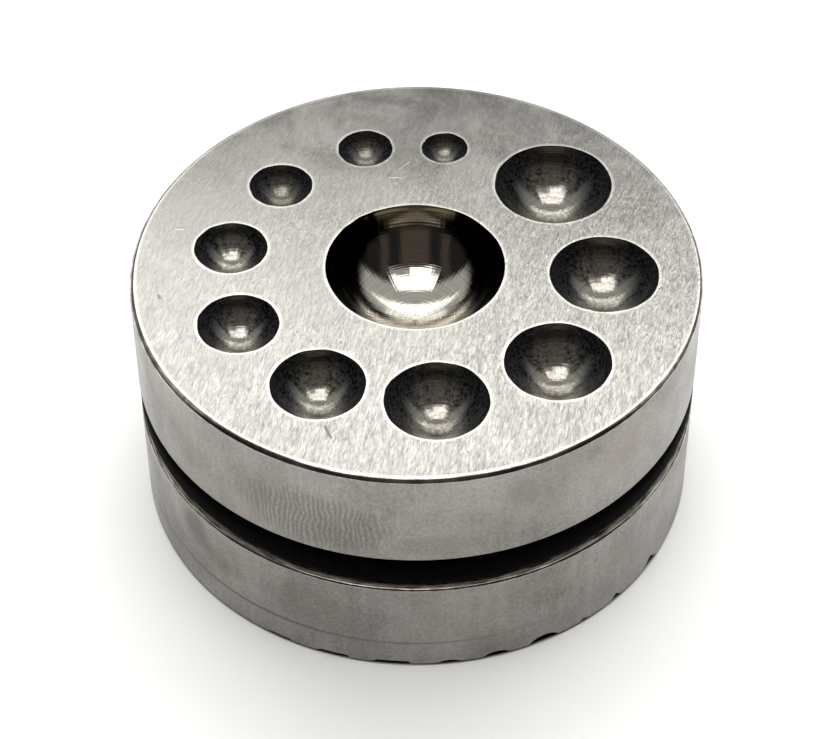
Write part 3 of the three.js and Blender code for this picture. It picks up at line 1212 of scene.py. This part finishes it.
@dataclass(frozen=True)
class Softbox:
    """A flat soft lamp, whose front and back edges run from left to right."""

    name: str
    front_edge: Pair  # Y and Z of the edge nearer the camera, in metres
    back_edge: Pair  # of the other edge
    middle: float  # X of its middle
    width: float  # length of those edges
    brightness: float  # of what it gives off, where 1 shows white
    mirrored: bool = True  # False where it only lights the floor

    def hang(self) -> None:
        """Makes the lamp, with its lit face towards the block."""
        front, back = np.array(self.front_edge), np.array(self.back_edge)
        depth = float(np.linalg.norm(back - front))
        lamp = bpy.data.lights.new(self.name, "AREA")
        lamp.shape = "RECTANGLE"
        lamp.size, lamp.size_y = self.width, depth
        lamp.energy = self.brightness * np.pi * self.width * depth
        hung = bpy.data.objects.new(self.name, lamp)
        bpy.context.scene.collection.objects.link(hung)
        run, rise = (back - front) / depth
        pose = np.eye(4)
        pose[:3, 1] = (0, run, rise)
        pose[:3, 2] = (0, -rise, run)
        pose[:3, 3] = (self.middle, *((front + back) / 2))
        hung.matrix_world = Matrix(pose.tolist())
        hung.visible_camera = False
        hung.visible_glossy = self.mirrored


@dataclass
class Studio:
    """The pale floor, the soft lamps, the tent behind and above the block, and the camera."""

    floor_size: float = 8.0
    floor_drop: float = 0.05  # mm below the block's base, so that the two don't share a plane
    tent_colour: str = "#fbfbf8"
    tent_edge: Pair = (-0.14, -0.02)  # of the direction's Y
    low_strength: float = 0.2
    high_strength: float = 0.36  # added above the foot of the glow
    glow_strength: float = 1.7
    glow_foot: Pair = (40.8, 44.4)  # degrees up from the horizon behind the block
    glow_head: Pair = (56.0, 46.0)
    glow_reach: Pair = (0.54, 0.38)  # of the direction's X, either way
    glow_tilt: Pair = (-0.12, 1.1)  # an X, and the degrees that the foot drops there
    band_strength: float = 2.8
    band_middle: float = 62.0
    band_half: float = 7.5
    band_reach: float = 0.82
    band_softness: float = 2.5
    wall_colour: str = "#5f5347"
    wall_strength: float = 0.6
    wall_reach: Pair = (0.38, 0.24)  # of X
    post_reach: tuple[Pair, ...] = ((0.52, 0.58), (0.74, 0.66))  # of X, either way
    post_share: float = 0.8
    wall_foot: Pair = (0.02, 0.12)  # of Z
    dark_colour: str = "#29292a"
    open_side: Pair = (0.86, 1.0)  # of X: past this the room is dark
    side_share: float = 0.2
    softboxes: tuple[Softbox, ...] = (
        Softbox("softbox_over", (-0.2326, 0.7378), (0.01, 1.17), 0.03, 0.85, 2.8),
        Softbox("softbox_over_front", (-0.3084, 0.597), (-0.2312, 0.734), -0.088, 0.35, 2.8),
        Softbox("softbox_over_dim", (-0.31, 0.6), (-0.2326, 0.7378), 0.03, 0.85, 0.4),
        Softbox("softbox_behind", (0.3, 0.85), (0.75, 0.5), 0.15, 1.6, 2.7, mirrored=False),
        Softbox("softbox_high", (-0.8, 1.3), (0.3, 1.3), 0.0, 1.8, 1.5, mirrored=False),
    )
    focal_share: float = 2607.7 / IMAGE_WIDTH  # of the image's width
    sensor_width: float = 36.0
    clip: Pair = (0.01, 100.0)
    distance: float = 9.1128  # in block radii from the middle of the top face
    elevation: float = np.radians(43.427)
    roll: float = np.radians(-0.342)
    aim_right: float = -0.00063
    aim_up: float = -0.0389

    def lay_floor(self) -> bpy.types.Object:
        """Lays the floor: pale paper that keeps the block's shadow.

        Returns:
            The floor's object.
        """
        half, down = self.floor_size / 2, -self.floor_drop * MM
        mesh = bpy.data.meshes.new("floor")
        corners = ((-half, -half), (half, -half), (half, half), (-half, half))
        mesh.from_pydata([(*corner, down) for corner in corners], [], [(0, 1, 2, 3)])
        mesh.materials.append(MattPaper().material())
        floor = bpy.data.objects.new("floor", mesh)
        bpy.context.scene.collection.objects.link(floor)
        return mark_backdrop(floor)

    def light_world(self) -> None:
        """Lights the world: a pale tent above and behind the block, and a dim room before it.

        Every light is a product of smooth steps of the direction's X, Y and Z, or of its angle up
        from the horizon behind the block. The tent starts a little before the block's middle, and
        is brighter above a line that climbs to the right, where it glows. A bright band above the
        glow is lens-shaped: its half height shrinks with the square of X. A brown wall between two
        posts stands in the dim room before the block.
        """
        world = bpy.data.worlds.new("studio")
        node = empty_tree(world)
        direction = node("TexCoord", out="Generated")
        side, ahead, rise = node("SeparateXYZ", (direction,)).node.outputs
        aside = node("Math ABSOLUTE", (side,))
        up = node("Math ARCTAN2", (rise, ahead))
        up = node("Math DEGREES", (up,))
        tent = node("MapRange", (ahead, *self.tent_edge), **SMOOTH)
        shown = node("MapRange", (aside, *self.open_side, 1.0, self.side_share), **SMOOTH)

        reach, drop = self.glow_tilt
        lean = node("MapRange", (side, reach, -reach, drop, -drop))
        white = self.glow_strength
        for value, ends in ((up, self.glow_head), (aside, self.glow_reach)):
            held = node("MapRange", (value, *ends), **SMOOTH)
            white = node("Math MULTIPLY", (held, white))
        white = node("Math ADD", (white, self.high_strength))
        foot = node("Math ADD", (up, lean))
        foot = node("MapRange", (foot, *self.glow_foot), **SMOOTH)
        white = node("Math MULTIPLY_ADD", (white, foot, self.low_strength))

        outward = node("Math DIVIDE", (aside, self.band_reach))
        outward = node("Math POWER", (outward, 2.0))
        lens = node("Math MULTIPLY_ADD", (outward, -self.band_half, self.band_half))
        off = node("Math SUBTRACT", (up, self.band_middle))
        off = node("Math ABSOLUTE", (off,))
        inside = node("Math SUBTRACT", (lens, off))
        band = node("MapRange", (inside, 0.0, self.band_softness), **SMOOTH)
        white = node("Math MULTIPLY_ADD", (band, self.band_strength, white))

        wall = self.post_share
        for ends in self.post_reach:
            post = node("MapRange", (aside, *ends), **SMOOTH)
            wall = node("Math MULTIPLY", (post, wall))
        middle = node("MapRange", (aside, *self.wall_reach), **SMOOTH)
        wall = node("Math ADD", (wall, middle))
        room = node("Math SUBTRACT", (1.0, tent))
        foot = node("MapRange", (rise, *self.wall_foot), **SMOOTH)
        for share in (foot, room, self.wall_strength):
            wall = node("Math MULTIPLY", (wall, share))
        for share in (tent, shown):
            white = node("Math MULTIPLY", (white, share))

        sky = node("Background", {"Color": linear(self.dark_colour), "Strength": shown})
        for colour, strength in ((self.tent_colour, white), (self.wall_colour, wall)):
            lit = node("Background", {"Color": linear(colour), "Strength": strength})
            sky = node("AddShader", (sky, lit))
        node("OutputWorld", {"Surface": sky})
        bpy.context.scene.world = world

    def place_camera(self, block: SteelBlock) -> None:
        """Places the camera where a fit to the photograph's rims puts it.

        Args:
            block: The block, whose radius is the fit's unit and whose top face is its origin.
        """
        lens = bpy.data.cameras.new("camera")
        lens.sensor_fit = "HORIZONTAL"
        lens.sensor_width = self.sensor_width
        lens.lens = self.focal_share * self.sensor_width
        lens.clip_start, lens.clip_end = self.clip
        back = np.array([0.0, -np.cos(self.elevation), np.sin(self.elevation)])
        right = np.array([1.0, 0.0, 0.0])
        ahead = -back + self.aim_right * right + self.aim_up * np.cross(right, -back)
        ahead /= np.linalg.norm(ahead)
        level = np.cross(ahead, [0.0, 0.0, 1.0])
        level /= np.linalg.norm(level)
        upright = np.cross(level, ahead)
        side = np.cos(self.roll) * level + np.sin(self.roll) * upright
        top = -np.sin(self.roll) * level + np.cos(self.roll) * upright
        camera = bpy.data.objects.new("camera", lens)
        bpy.context.scene.collection.objects.link(camera)
        pose = np.eye(4)
        pose[:3, :3] = np.column_stack([side, top, -ahead])
        pose[:3, 3] = (back * self.distance * block.radius + [0.0, 0.0, block.height]) * MM
        camera.matrix_world = Matrix(pose.tolist())
        bpy.context.scene.camera = camera

    def set_up(self, block: SteelBlock) -> None:
        """Sets up the floor, the lamps, the world, the camera and the view.

        Args:
            block: The block that stands in the studio.
        """
        bpy.context.scene.view_settings.view_transform = "Standard"
        self.place_camera(block)
        self.lay_floor()
        self.light_world()
        for softbox in self.softboxes:
            softbox.hang()


def main() -> None:
    """Builds the studio, the steel block and the rubber ring, and reports each."""
    block = SteelBlock()
    Studio().set_up(block)
    log.info("studio: floor, lamps, world and camera are set")
    for part in (block, RubberRing(block)):
        piece = part.build()
        part.dress(piece)
        log.info("%s: rides on root", piece.name)


if __name__ == "__main__":
    main()
